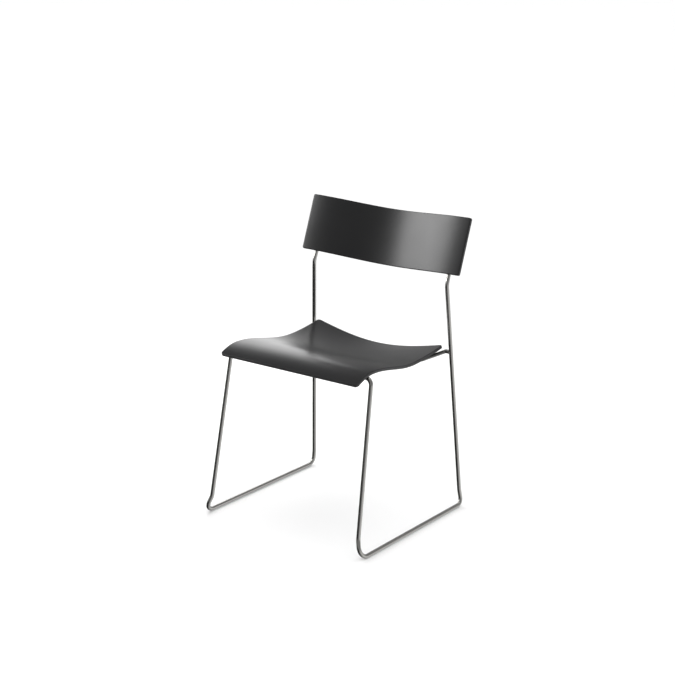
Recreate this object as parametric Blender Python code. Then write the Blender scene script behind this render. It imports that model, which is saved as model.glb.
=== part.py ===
"""Stacking chair on a bent steel-rod sled frame, with a moulded seat shell and a bowed back panel.

Metres, +Z up, the sitter faces -Y. The chair stands on z = 0 and is centred on x = y = 0.
"""

import math

import bmesh
import bpy
from mathutils import Matrix, Vector

# Stock and clearances
ROD_RADIUS = 0.0055
PLATE = 0.003
GAP = 0.0003

# Seat shell: plan outline, the height of its crest, and how far its side edge drops below that elsewhere
SEAT_FRONT_Y = -0.228
SEAT_REAR_Y = 0.188
SEAT_FRONT_HALF = 0.2150
SEAT_WAIST_HALF = 0.203
SEAT_WAIST_Y = 0.120
SEAT_CORNER = 0.009
SEAT_THICK = 0.008
SEAT_HEIGHT = 0.467
SEAT_CREST_Y = -0.155
SEAT_TROUGH_Y = 0.045
SEAT_LIP_DROP = 0.020
SEAT_TROUGH_DROP = 0.024
SEAT_REAR_DROP = 0.007
SEAT_DISH = 0.031

# Back panel: front face, measured from the bottom corners up its slope
BACK_HALF = 0.2515
BACK_HEIGHT = 0.153
BACK_BOTTOM_Y = 0.1685
BACK_ABOVE_SEAT = 0.1905
BACK_LEAN = math.radians(19.1)
BACK_BOW = 0.033
BACK_BOW_DIP = math.radians(25.0)
BACK_THICK = 0.009
BACK_CORNER = 0.005

# Side rods: the runner's corners, and how far in, along and up the leg bends above each corner
RUNNER_HALF = 0.251
RUNNER_FRONT_Y = -0.244
RUNNER_REAR_Y = 0.2465
FRONT_ANKLE = (0.015, 0.014, 0.050)
REAR_ANKLE = (0.006, 0.0053, 0.045)

# Side rods: the knee beside the seat, the upright's bend and end behind the back, and the bend radii
KNEE_OUTSET = 0.005
KNEE_BEHIND_LIP = 0.0566
UPRIGHT_INSET = 0.0374
UPRIGHT_TOP_INSET = 0.0435
UPRIGHT_BEND_DROP = 0.0313
UPRIGHT_TOP_DROP = 0.030
ANKLE_BEND = 0.040
FOOT_BEND = 0.025
ELBOW_BEND = 0.018
KNEE_BEND = 0.018
UPRIGHT_BEND = 0.040

# Cross bars
FRONT_WELD_HALF = 0.170
REAR_BAR_END_DROP = 0.026
REAR_BAR_INSET = 0.020
REAR_BAR_HALF = 0.150
REAR_BAR_LEVEL = 0.016
REAR_BAR_BEND = 0.022
REAR_SHOULDER_BEND = 0.011

# Seat tabs and back brackets: half length along X, reach from the bar, and screw spacing
TAB_HALF = 0.030
TAB_REACH = 0.024
TAB_CORNER = 0.004
FRONT_TAB_X = 0.105
REAR_TAB_X = 0.060
TAB_SCREW_PITCH = 0.034
BRACKET_LOW = 0.030
BRACKET_HIGH = 0.112
BRACKET_REACH = 0.026
BRACKET_SCREW_PITCH = 0.050

# Screws and the captive inserts in the shells
SCREW_RADIUS = 0.0025
HEAD_RADIUS = 0.00475
HEAD_HEIGHT = 0.00275
HEAD_TOP_RADIUS = 0.00295
HEAD_SHOULDER_RADIUS = 0.0044
HEAD_SHOULDER_HEIGHT = 0.00165
SOCKET_RADIUS = 0.0015
SOCKET_DEPTH = 0.0016
SCREW_CLEARANCE = 0.0003
INSERT_RADIUS = 0.0040
INSERT_COVER = 0.0022
INSERT_END_ROOM = 0.0003
SCREW_END_ROOM = 0.0006

# Facets: grids are columns along X and rows between the rounded corners
SEAT_GRID = (28, 40)
BACK_GRID = (36, 2)
TAB_GRID = (6, 3)
BRACKET_GRID = (3, 5)
ROD_SIDES = 16
TURNED_SIDES = 12
BEND_STEP = math.radians(13.0)
SHARP_ANGLE = math.radians(35.0)
RIM_BEVEL = 0.0012

# Worked out from the values above
SEAT_LIP_Z = SEAT_HEIGHT - SEAT_LIP_DROP
SEAT_TROUGH_Z = SEAT_HEIGHT - SEAT_TROUGH_DROP
SEAT_REAR_Z = SEAT_HEIGHT - SEAT_REAR_DROP
BACK_BOTTOM_Z = SEAT_HEIGHT + BACK_ABOVE_SEAT
KNEE_HALF = SEAT_FRONT_HALF + KNEE_OUTSET
KNEE_Y = SEAT_FRONT_Y + KNEE_BEHIND_LIP
REAR_BAR_Y = SEAT_REAR_Y - REAR_BAR_INSET
TAB_CLEAR_OF_BAR = math.sqrt(ROD_RADIUS**2 - (ROD_RADIUS - PLATE) ** 2) + GAP


def clear_scene():
    """Empties the scene that the script starts in."""
    for old in list(bpy.data.objects):
        bpy.data.objects.remove(old, do_unlink=True)


def finish(name, rgb, roughness, metallic):
    """A plain Principled material."""
    material = bpy.data.materials.new(name)
    material.use_nodes = True
    shader = material.node_tree.nodes["Principled BSDF"]
    shader.inputs["Base Color"].default_value = (*rgb, 1.0)
    shader.inputs["Roughness"].default_value = roughness
    shader.inputs["Metallic"].default_value = metallic
    return material


def add_mesh(name, bm, material):
    """Turns a bmesh into a named object with one material, its faces pointing out and its round faces smooth."""
    bmesh.ops.recalc_face_normals(bm, faces=bm.faces[:])
    mesh = bpy.data.meshes.new(name)
    bm.to_mesh(mesh)
    bm.free()
    mesh.shade_smooth()
    mesh.set_sharp_from_angle(angle=SHARP_ANGLE)
    mesh.materials.append(material)
    obj = bpy.data.objects.new(name, mesh)
    bpy.context.scene.collection.objects.link(obj)
    return obj


# --- The two moulded surfaces, each as a function of plan place and depth below the face


def seat_half_width(y):
    """Half width of the seat at y: full at the front, eased in to the waist at the back."""
    t = min(max((y - SEAT_FRONT_Y) / (SEAT_WAIST_Y - SEAT_FRONT_Y), 0.0), 1.0)
    return SEAT_WAIST_HALF + (SEAT_FRONT_HALF - SEAT_WAIST_HALF) * (1.0 + math.cos(math.pi * t)) / 2.0


def seat_edge_height(y):
    """Height of the seat's side edge: waterfall front, crest, trough and rising rear."""
    if y < SEAT_CREST_Y:
        t = (SEAT_CREST_Y - y) / (SEAT_CREST_Y - SEAT_FRONT_Y)
        return SEAT_HEIGHT - (SEAT_HEIGHT - SEAT_LIP_Z) * t * t
    if y < SEAT_TROUGH_Y:
        t = (y - SEAT_CREST_Y) / (SEAT_TROUGH_Y - SEAT_CREST_Y)
        return SEAT_TROUGH_Z + (SEAT_HEIGHT - SEAT_TROUGH_Z) * (1.0 + math.cos(math.pi * t)) / 2.0
    t = (y - SEAT_TROUGH_Y) / (SEAT_REAR_Y - SEAT_TROUGH_Y)
    return SEAT_TROUGH_Z + (SEAT_REAR_Z - SEAT_TROUGH_Z) * t**1.6


def seat_top(x, y):
    """A point of the seat's upper face: the side edge, less a cosine dish that deepens to the rear."""
    t = min(max((y - SEAT_CREST_Y) / (SEAT_REAR_Y - SEAT_CREST_Y), 0.0), 1.0)
    dish = SEAT_DISH * t * t * (3.0 - 2.0 * t)
    across = math.cos(math.pi / 2.0 * min(abs(x) / seat_half_width(y), 1.0))
    return Vector((x, y, seat_edge_height(y) - dish * across))


def back_front(x, rise):
    """A point of the back's front face, rise metres up its slope, bowed back by a squared cosine."""
    bow = BACK_BOW * math.cos(math.pi / 2.0 * min(abs(x) / BACK_HALF, 1.0)) ** 2
    y = BACK_BOTTOM_Y + rise * math.sin(BACK_LEAN) + bow * math.cos(BACK_BOW_DIP)
    z = BACK_BOTTOM_Z + rise * math.cos(BACK_LEAN) - bow * math.sin(BACK_BOW_DIP)
    return Vector((x, y, z))


def face_normal(face, a, b, step=0.001):
    """Unit normal of a surface function, towards the sitter."""
    along = face(a + step, b) - face(a - step, b)
    up = face(a, b + step) - face(a, b - step)
    return along.cross(up).normalized()


def seat_at(x, y, depth):
    """A point depth metres under the seat's upper face."""
    return seat_top(x, y) - face_normal(seat_top, x, y) * depth


def back_at(x, rise, depth):
    """A point depth metres behind the back's front face."""
    return back_front(x, rise) - face_normal(back_front, x, rise) * depth


# --- Shells and plates: a rounded outline on one of those surfaces, between two depths


def outline_rows(low, high, corner, rows):
    """Row places from low to high, closer together through the two rounded corners."""
    turns = [corner * (1.0 - math.cos(math.radians(a))) for a in (0.0, 30.0, 60.0)]
    middle = [low + corner + (high - low - 2.0 * corner) * i / rows for i in range(rows + 1)]
    return [low + t for t in turns] + middle + [high - t for t in reversed(turns)]


def corner_inset(place, low, high, corner):
    """How far a rounded corner pulls the outline in at a row near either end."""
    near = min(place - low, high - place)
    if near >= corner:
        return 0.0
    return corner - math.sqrt(max(corner**2 - (corner - near) ** 2, 0.0))


def slab(name, at, sides, span, corner, columns, rows, depths, material):
    """A closed plate that follows a moulded surface.

    at(a, b, depth) is the surface, sides(b) its left and right edge, span its low and high b.
    """
    bm = bmesh.new()
    layers = []
    for depth in depths:
        grid = []
        for b in outline_rows(*span, corner, rows):
            inset = corner_inset(b, *span, corner)
            left, right = sides(b)
            left, right = left + inset, right - inset
            places = [left + (right - left) * i / columns for i in range(columns + 1)]
            grid.append([bm.verts.new(at(a, b, depth)) for a in places])
        layers.append(grid)
    face, back = layers
    last_row, last_column = len(face) - 1, columns
    for j in range(last_row):
        for i in range(last_column):
            for grid in (face, back):
                bm.faces.new((grid[j][i], grid[j][i + 1], grid[j + 1][i + 1], grid[j + 1][i]))
        for i in (0, last_column):
            bm.faces.new((face[j][i], face[j + 1][i], back[j + 1][i], back[j][i]))
    for i in range(last_column):
        for j in (0, last_row):
            bm.faces.new((face[j][i], face[j][i + 1], back[j][i + 1], back[j][i]))
    return add_mesh(name, bm, material)


def ease_rim(obj):
    """Rounds the long outer edges of a shell."""
    bevel = obj.modifiers.new("eased_rim", "BEVEL")
    bevel.width = RIM_BEVEL
    bevel.segments = 1
    bevel.limit_method = "ANGLE"
    bevel.angle_limit = math.radians(60.0)


def bore(obj, holes, radius):
    """Cuts round holes, each given as its start point and its end point."""
    bm = bmesh.new()
    for start, end in holes:
        axis = end - start
        place = Matrix.Translation((start + end) / 2.0) @ axis.to_track_quat("Z", "Y").to_matrix().to_4x4()
        bmesh.ops.create_cone(
            bm, cap_ends=True, segments=TURNED_SIDES, radius1=radius, radius2=radius,
            depth=axis.length, matrix=place,
        )
    cutter = add_mesh(obj.name + "_cutter", bm, obj.data.materials[0])
    cutter.hide_render = True
    cutter.display_type = "WIRE"
    cut = obj.modifiers.new("holes", "BOOLEAN")
    cut.operation = "DIFFERENCE"
    cut.solver = "EXACT"
    cut.object = cutter


# --- Bent rod: straight runs between corner points, each corner turned to a radius


def bent_path(corners, radii):
    """Points along straight runs whose inner corners are arcs of the given radii."""
    path = [corners[0]]
    for before, corner, after, radius in zip(corners, corners[1:], corners[2:], radii):
        into, out = (corner - before).normalized(), (after - corner).normalized()
        turn = into.angle(out)
        tangent = radius * math.tan(turn / 2.0)
        centre = corner + (out - into).normalized() * (radius / math.cos(turn / 2.0))
        axis = into.cross(out).normalized()
        start = corner - into * tangent - centre
        steps = max(2, math.ceil(turn / BEND_STEP))
        path += [centre + Matrix.Rotation(turn * i / steps, 3, axis) @ start for i in range(steps + 1)]
    return path + [corners[-1]]


def carried_normals(runs, level):
    """One section normal per run, carried along the path without twist from straight up on the level run."""
    normals = {level: Vector((0.0, 0.0, 1.0))}
    for step, stop in ((1, len(runs)), (-1, -1)):
        for i in range(level + step, stop, step):
            normals[i] = runs[i - step].rotation_difference(runs[i]) @ normals[i - step]
    return normals


def rod(name, path, material):
    """A round solid rod along a path, with flat cut ends and a flat facet under its longest level run."""
    runs = [(after - before).normalized() for before, after in zip(path, path[1:])]
    lengths = [(b - a).length * (abs(run.z) < 0.001) for run, a, b in zip(runs, path, path[1:])]
    normals = carried_normals(runs, lengths.index(max(lengths)))
    bm = bmesh.new()
    rings = []
    for i, place in enumerate(path):
        k = min(i, len(runs) - 1)
        run, up = runs[k], normals[k]
        mitre = (runs[max(i - 1, 0)] + run).normalized()
        ring = []
        for side in range(ROD_SIDES):
            angle = 2.0 * math.pi * (side + 0.5) / ROD_SIDES
            offset = (up * math.cos(angle) + run.cross(up) * math.sin(angle)) * ROD_RADIUS
            ring.append(bm.verts.new(place + offset - run * (offset.dot(mitre) / run.dot(mitre))))
        rings.append(ring)
    for low, high in zip(rings, rings[1:]):
        for side in range(ROD_SIDES):
            following = (side + 1) % ROD_SIDES
            bm.faces.new((low[side], low[following], high[following], high[side]))
    bm.faces.new(rings[0])
    bm.faces.new(rings[-1])
    return add_mesh(name, bm, material)


def mirrored(point, side):
    """The point on the left (-1) or right (+1) half of the chair."""
    return Vector((point[0] * side, point[1], point[2]))


# --- Turned fasteners


def turned(name, profile, closed, place, material):
    """A body turned about local Z from (radius, height, is_hexagonal) rings.

    A closed profile joins its last ring to its first, and an open one has a pole at each end.
    """
    bm = bmesh.new()
    rings = []
    for radius, height, hexagonal in profile:
        ring = []
        for i in range(TURNED_SIDES):
            angle = 2.0 * math.pi * i / TURNED_SIDES
            flat = math.cos(math.radians((math.degrees(angle) + 30.0) % 60.0 - 30.0)) if hexagonal else 1.0
            reach = radius / flat
            ring.append(bm.verts.new((reach * math.cos(angle), reach * math.sin(angle), height)))
        rings.append(ring)
    pairs = list(zip(rings, rings[1:]))
    if closed:
        pairs.append((rings[-1], rings[0]))
    else:
        bm.faces.new(rings[0])
        bm.faces.new(rings[-1])
    for low, high in pairs:
        for i in range(TURNED_SIDES):
            j = (i + 1) % TURNED_SIDES
            bm.faces.new((low[i], low[j], high[j], high[i]))
    obj = add_mesh(name, bm, material)
    obj.matrix_world = place
    return obj


def inward_frame(at, a, b, depth):
    """A frame on a shell at the given depth, with local Z pointing in towards the shell's face."""
    start = at(a, b, depth)
    inward = (at(a, b, 0.0) - start).normalized()
    return Matrix.Translation(start) @ inward.to_track_quat("Z", "Y").to_matrix().to_4x4()


def fasten(label, at, a, b, thick, steel, brass):
    """One captive insert in a shell and the screw that enters it; returns the shell's hole and the plate's."""
    hole_end = INSERT_COVER - INSERT_END_ROOM
    seat_depth = thick + GAP + PLATE + GAP
    shank = seat_depth - INSERT_COVER - SCREW_END_ROOM
    bore_radius = SCREW_RADIUS + SCREW_CLEARANCE
    insert = [
        (bore_radius, 0.0, False),
        (INSERT_RADIUS, 0.0, False),
        (INSERT_RADIUS, thick - INSERT_COVER, False),
        (bore_radius, thick - INSERT_COVER, False),
    ]
    turned(label + "_insert", insert, True, inward_frame(at, a, b, thick), brass)
    screw = [
        (SOCKET_RADIUS, SOCKET_DEPTH - HEAD_HEIGHT, True),
        (SOCKET_RADIUS, -HEAD_HEIGHT, True),
        (HEAD_TOP_RADIUS, -HEAD_HEIGHT, False),
        (HEAD_SHOULDER_RADIUS, -HEAD_SHOULDER_HEIGHT, False),
        (HEAD_RADIUS, 0.0, False),
        (SCREW_RADIUS, 0.0, False),
        (SCREW_RADIUS, shank, False),
    ]
    turned(label + "_screw", screw, False, inward_frame(at, a, b, seat_depth), steel)
    shell_hole = (at(a, b, thick * 1.5), at(a, b, hole_end))
    plate_hole = (at(a, b, thick + 3.0 * PLATE), at(a, b, thick - PLATE))
    return shell_hole, plate_hole


# --- The chair


def build_shells(black):
    """The seat shell and the back panel with their rims eased, before their insert holes."""
    seat = slab(
        "seat_shell", seat_at, lambda y: (-seat_half_width(y), seat_half_width(y)),
        (SEAT_FRONT_Y, SEAT_REAR_Y), SEAT_CORNER, *SEAT_GRID, (0.0, SEAT_THICK), black,
    )
    back = slab(
        "back_panel", back_at, lambda rise: (-BACK_HALF, BACK_HALF),
        (0.0, BACK_HEIGHT), BACK_CORNER, *BACK_GRID, (0.0, BACK_THICK), black,
    )
    for shell in (seat, back):
        ease_rim(shell)
    return seat, back


def bar_height_under_seat(x, y):
    """Height of a bar's axis where it carries the seat's sloped underside with a small gap."""
    return seat_at(x, y, SEAT_THICK).z - (ROD_RADIUS + GAP) / face_normal(seat_top, x, y).z


def front_bar_height():
    """Height of the front bar's axis."""
    return min(bar_height_under_seat(FRONT_WELD_HALF * i / 8.0, KNEE_Y) for i in range(9))


def upright_corners(side):
    """The upright's bend, and its top end behind the back panel."""
    depth = BACK_THICK + GAP + ROD_RADIUS
    top = back_at(BACK_HALF - UPRIGHT_TOP_INSET, BACK_HEIGHT - UPRIGHT_TOP_DROP, depth)
    bend_z = BACK_BOTTOM_Z - UPRIGHT_BEND_DROP
    bend_y = top.y - (top.z - bend_z) * math.tan(BACK_LEAN)
    return mirrored((BACK_HALF - UPRIGHT_INSET, bend_y, bend_z), side), mirrored(top, side)


def build_side_rod(name, side, steel):
    """One continuous rod: bar stub, front leg, runner, rear leg and upright. Returns its rear leg's ends."""
    bar_z = front_bar_height()
    bend, top = upright_corners(side)
    front_ankle = (RUNNER_HALF - FRONT_ANKLE[0], RUNNER_FRONT_Y + FRONT_ANKLE[1], FRONT_ANKLE[2])
    ankle = mirrored((RUNNER_HALF - REAR_ANKLE[0], RUNNER_REAR_Y - REAR_ANKLE[1], REAR_ANKLE[2]), side)
    floor_reach = ROD_RADIUS * math.cos(math.pi / ROD_SIDES)
    corners = [
        mirrored((FRONT_WELD_HALF + GAP, KNEE_Y, bar_z), side),
        mirrored((KNEE_HALF, KNEE_Y, bar_z), side),
        mirrored(front_ankle, side),
        mirrored((RUNNER_HALF, RUNNER_FRONT_Y, floor_reach), side),
        mirrored((RUNNER_HALF, RUNNER_REAR_Y, floor_reach), side),
        ankle,
        bend,
        top,
    ]
    radii = (KNEE_BEND, ANKLE_BEND, FOOT_BEND, ELBOW_BEND, ANKLE_BEND, UPRIGHT_BEND)
    rod(name, bent_path(corners, radii), steel)
    return ankle, bend


def build_bars(ankle, bend, steel):
    """The straight front bar, and the rear bar that drops from the uprights to the dished seat."""
    bar_z = front_bar_height()
    rod("front_crossbar", [Vector((x * FRONT_WELD_HALF, KNEE_Y, bar_z)) for x in (-1.0, 1.0)], steel)
    share = (SEAT_HEIGHT - REAR_BAR_END_DROP - ankle.z) / (bend.z - ankle.z)
    weld = ankle.lerp(bend, share)
    shoulder = Vector((weld.x - REAR_BAR_LEVEL, weld.y, weld.z))
    lean = abs((bend - ankle).normalized().x)
    end = Vector((weld.x - ROD_RADIUS * (1.0 + lean) - GAP, weld.y, weld.z))
    middle = Vector((REAR_BAR_HALF, REAR_BAR_Y, bar_height_under_seat(0.0, REAR_BAR_Y)))
    right = [end, shoulder, middle]
    corners = [mirrored(p, -1.0) for p in right] + right[::-1]
    radii = (REAR_SHOULDER_BEND, REAR_BAR_BEND, REAR_BAR_BEND, REAR_SHOULDER_BEND)
    rod("rear_crossbar", bent_path(corners, radii), steel)


def build_seat_tabs(steel, zinc, brass):
    """Four pressed tabs that follow the seat's underside, two screws each. Returns the seat's holes."""
    depths = (SEAT_THICK + GAP, SEAT_THICK + GAP + PLATE)
    seat_holes = []
    for row, bar_y, tab_x, reach in (
        ("front", KNEE_Y, FRONT_TAB_X, TAB_REACH),
        ("rear", REAR_BAR_Y, REAR_TAB_X, -TAB_REACH),
    ):
        slopes = [face_normal(seat_top, tab_x + TAB_HALF * i, bar_y).y for i in (-1.0, 0.0, 1.0)]
        drift = min(slopes) * depths[1]
        start = bar_y + drift + math.copysign(TAB_CLEAR_OF_BAR, reach)
        span = tuple(sorted((start, start + reach)))
        for side_name, side in (("left", -1.0), ("right", 1.0)):
            name = f"seat_tab_{row}_{side_name}"
            centre = tab_x * side
            tab = slab(
                name, seat_at, lambda y, c=centre: (c - TAB_HALF, c + TAB_HALF),
                span, TAB_CORNER, *TAB_GRID, depths, steel,
            )
            plate_holes = []
            for place, offset in (("inner", -side), ("outer", side)):
                x = centre + offset * TAB_SCREW_PITCH / 2.0
                y = sum(span) / 2.0
                label = f"seat_{row}_{side_name}_{place}"
                shell_hole, plate_hole = fasten(label, seat_at, x, y, SEAT_THICK, zinc, brass)
                seat_holes.append(shell_hole)
                plate_holes.append(plate_hole)
            bore(tab, plate_holes, SCREW_RADIUS + SCREW_CLEARANCE)
    return seat_holes


def build_back_brackets(steel, zinc, brass):
    """Two pressed brackets beside the uprights, behind the panel. Returns the panel's holes."""
    depths = (BACK_THICK + GAP, BACK_THICK + GAP + PLATE)
    panel_holes = []
    for side_name, side in (("left", -1.0), ("right", 1.0)):
        bend, top = upright_corners(side)

        def edges(rise, side=side, bend=bend, top=top):
            """The bracket's sides at a rise: one beside the leaning upright, one further in."""
            z = BACK_BOTTOM_Z + rise * math.cos(BACK_LEAN)
            rod_x = bend.lerp(top, (z - bend.z) / (top.z - bend.z)).x
            drift = face_normal(back_front, rod_x, rise).x * depths[1]
            outer = rod_x + drift - side * TAB_CLEAR_OF_BAR
            return tuple(sorted((outer, outer - side * BRACKET_REACH)))

        bracket = slab(
            f"back_bracket_{side_name}", back_at, edges, (BRACKET_LOW, BRACKET_HIGH),
            TAB_CORNER, *BRACKET_GRID, depths, steel,
        )
        plate_holes = []
        for place, offset in (("lower", -0.5), ("upper", 0.5)):
            rise = (BRACKET_LOW + BRACKET_HIGH) / 2.0 + offset * BRACKET_SCREW_PITCH
            x = sum(edges(rise)) / 2.0
            shell_hole, plate_hole = fasten(f"back_{side_name}_{place}", back_at, x, rise, BACK_THICK, zinc, brass)
            panel_holes.append(shell_hole)
            plate_holes.append(plate_hole)
        bore(bracket, plate_holes, SCREW_RADIUS + SCREW_CLEARANCE)
    return panel_holes


def centre_on_origin():
    """Slides every object along Y until the chair's box is centred on y = 0."""
    bpy.context.view_layer.update()
    graph = bpy.context.evaluated_depsgraph_get()
    places = []
    for obj in bpy.context.scene.objects:
        if not obj.hide_render:
            body = obj.evaluated_get(graph)
            mesh = body.to_mesh()
            places += [(body.matrix_world @ v.co).y for v in mesh.vertices]
            body.to_mesh_clear()
    shift = Matrix.Translation((0.0, -(min(places) + max(places)) / 2.0, 0.0))
    for obj in bpy.context.scene.objects:
        obj.matrix_world = shift @ obj.matrix_world


def main():
    """Builds the chair."""
    clear_scene()
    black = finish("black_lacquered_ply", (0.012, 0.012, 0.013), 0.32, 0.0)
    steel = finish("satin_nickel_steel", (0.42, 0.42, 0.40), 0.28, 1.0)
    zinc = finish("zinc_screw", (0.55, 0.55, 0.56), 0.35, 1.0)
    brass = finish("brass_insert", (0.60, 0.42, 0.18), 0.40, 1.0)
    seat, back = build_shells(black)
    build_side_rod("side_rod_left", -1.0, steel)
    ankle, bend = build_side_rod("side_rod_right", 1.0, steel)
    build_bars(ankle, bend, steel)
    insert_hole = INSERT_RADIUS + GAP
    bore(seat, build_seat_tabs(steel, zinc, brass), insert_hole)
    bore(back, build_back_brackets(steel, zinc, brass), insert_hole)
    centre_on_origin()


main()
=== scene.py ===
"""Looks of the stacking chair: a lacquered plywood seat and back on a satin nickel-plated steel-rod frame.

Metres, +Z up, the sitter faces -Y. Left and right are as seen from the front.
"""

import math

import bmesh
import bpy
import numpy as np
from mathutils import Matrix, Vector


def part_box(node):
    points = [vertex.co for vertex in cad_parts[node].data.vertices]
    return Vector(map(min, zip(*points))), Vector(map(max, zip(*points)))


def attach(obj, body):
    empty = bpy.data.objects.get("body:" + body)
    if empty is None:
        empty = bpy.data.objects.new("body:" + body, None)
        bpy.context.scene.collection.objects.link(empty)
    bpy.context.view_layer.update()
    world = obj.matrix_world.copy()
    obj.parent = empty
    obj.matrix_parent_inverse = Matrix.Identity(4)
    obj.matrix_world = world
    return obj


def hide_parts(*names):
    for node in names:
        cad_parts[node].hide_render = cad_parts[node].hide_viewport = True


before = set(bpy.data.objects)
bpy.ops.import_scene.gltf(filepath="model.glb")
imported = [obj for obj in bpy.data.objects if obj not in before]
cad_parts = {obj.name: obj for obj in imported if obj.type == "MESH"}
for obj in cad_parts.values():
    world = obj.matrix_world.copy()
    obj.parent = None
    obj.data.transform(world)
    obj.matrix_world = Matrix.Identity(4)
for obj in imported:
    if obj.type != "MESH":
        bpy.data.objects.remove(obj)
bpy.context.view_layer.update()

# --- Camera ---------------------------------------------------------------------------------------
# The chair is seen from its right front, at standing eye height, through a long lens.
# The camera is turned slightly about its own axis, as the chair leans a little towards its left.

lens_mm = 81.3
camera_place = Vector((2.1991, -3.1576, 1.547))
camera_right = Vector((0.8145, 0.5795, 0.0277))
camera_up = Vector((-0.1768, 0.2024, 0.9632))

camera = bpy.data.objects.new("camera", bpy.data.cameras.new("camera"))
camera.data.lens = lens_mm
camera.data.clip_end = 200.0
axes = Matrix((camera_right, camera_up, camera_right.cross(camera_up))).transposed()
camera.matrix_world = Matrix.Translation(camera_place) @ axes.to_4x4()
bpy.context.scene.collection.objects.link(camera)
bpy.context.scene.camera = camera

# --- Seat shell -----------------------------------------------------------------------------------
# The seat is one moulded plywood shell under black satin lacquer. Its front edge rolls over to the lip, its
# crest lies over the front bar, and its dish deepens to the rear. Screws hold it from below.

# The lip lies a fixed distance ahead of the front bar's axis, and the shells are measured from the lip.
bar_lo, bar_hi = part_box("front_crossbar")
knee_y = (bar_lo[1] + bar_hi[1]) / 2.0
bar_behind_lip = 0.0566
lip_y = knee_y - bar_behind_lip
crest_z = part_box("seat_shell")[1][2]
# Names in _behind are distances behind the lip, _half half widths, and _drop drops below the crest.
seat_length = 0.416
seat_front_half = 0.2150
seat_waist_half = 0.203
seat_waist_behind = 0.348
seat_crest_behind = 0.073
seat_trough_behind = 0.273
seat_lip_drop = 0.020
seat_trough_drop = 0.024
seat_rear_drop = 0.007
seat_rear_power = 1.6
seat_dish = 0.031
seat_thick = 0.008
seat_corner = 0.009
rim_round = 0.0016
corner_steps = 15
rim_steps = 7
same_place = 1e-6


def seat_half_width(behind):
    """Half width at a distance behind the lip: half a cosine wave from the front width to the waist."""
    t = np.clip(behind / seat_waist_behind, 0.0, 1.0)
    return seat_waist_half + (seat_front_half - seat_waist_half) * (1.0 + np.cos(np.pi * t)) / 2.0


def seat_edge_height(behind):
    """Side edge: the crest's height less a drop, in three stretches.

    The drop is a parabola from the lip to the crest and half a cosine wave from there to the trough. From
    the trough on it shrinks by a power of the way to the rear edge, and a little past that edge.
    """
    past_rear = 1.1
    lip = (seat_crest_behind - behind) / seat_crest_behind
    fall = np.clip((behind - seat_crest_behind) / (seat_trough_behind - seat_crest_behind), 0.0, 1.0)
    rise = np.clip((behind - seat_trough_behind) / (seat_length - seat_trough_behind), 0.0, past_rear)
    front = crest_z - seat_lip_drop * lip**2
    middle = crest_z - seat_trough_drop * (1.0 - np.cos(np.pi * fall)) / 2.0
    rear = crest_z - seat_trough_drop + (seat_trough_drop - seat_rear_drop) * rise**seat_rear_power
    return np.where(behind < seat_crest_behind, front, np.where(behind < seat_trough_behind, middle, rear))


def seat_surface(a, behind):
    """Upper face: the side edge's height less a dish.

    The dish is a quarter cosine from the middle to each side edge, times the smooth step t^2 * (3 - 2 * t) of
    the way t from the crest to the rear edge.
    """
    t = np.clip((behind - seat_crest_behind) / (seat_length - seat_crest_behind), 0.0, 1.0)
    across = np.cos(np.pi / 2.0 * np.clip(np.abs(a) / seat_half_width(behind), 0.0, 1.0))
    z = seat_edge_height(behind) - seat_dish * t**2 * (3.0 - 2.0 * t) * across
    return np.stack([a, lip_y + behind, z], -1)


def face_normal(surface, a, b):
    """Unit normal towards the sitter: the cross product of the surface's two central differences."""
    step = 0.0002
    along = surface(a + step, b) - surface(a - step, b)
    up = surface(a, b + step) - surface(a, b - step)
    normal = np.cross(along, up)
    return normal / np.linalg.norm(normal, axis=-1, keepdims=True)


def new_piece(name, points, faces, attributes=()):
    """A smooth mesh object of the chair, from points (n, 3), quads (m, 4) and named values at the points.

    Points that coincide, as where a ring closes on the axis, are merged.
    """
    mesh = bpy.data.meshes.new(name)
    mesh.from_pydata(points.reshape(-1, 3), [], faces)
    for label, values in attributes:
        layer = mesh.attributes.new(label, "FLOAT", "POINT")
        layer.data.foreach_set("value", np.asarray(values, "f").ravel())
    merged = bmesh.new()
    merged.from_mesh(mesh)
    bmesh.ops.remove_doubles(merged, verts=merged.verts, dist=same_place)
    merged.to_mesh(mesh)
    merged.free()
    mesh.shade_smooth()
    piece = bpy.data.objects.new(name, mesh)
    bpy.context.scene.collection.objects.link(piece)
    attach(piece, "root")
    return piece


def grid_quads(rows, columns, start=0):
    """Quads between neighbouring points of a rows by columns grid."""
    first = (start + np.arange(rows - 1)[:, None] * columns + np.arange(columns - 1)[None, :]).ravel()
    return np.stack([first, first + 1, first + columns + 1, first + columns], -1)


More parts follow.
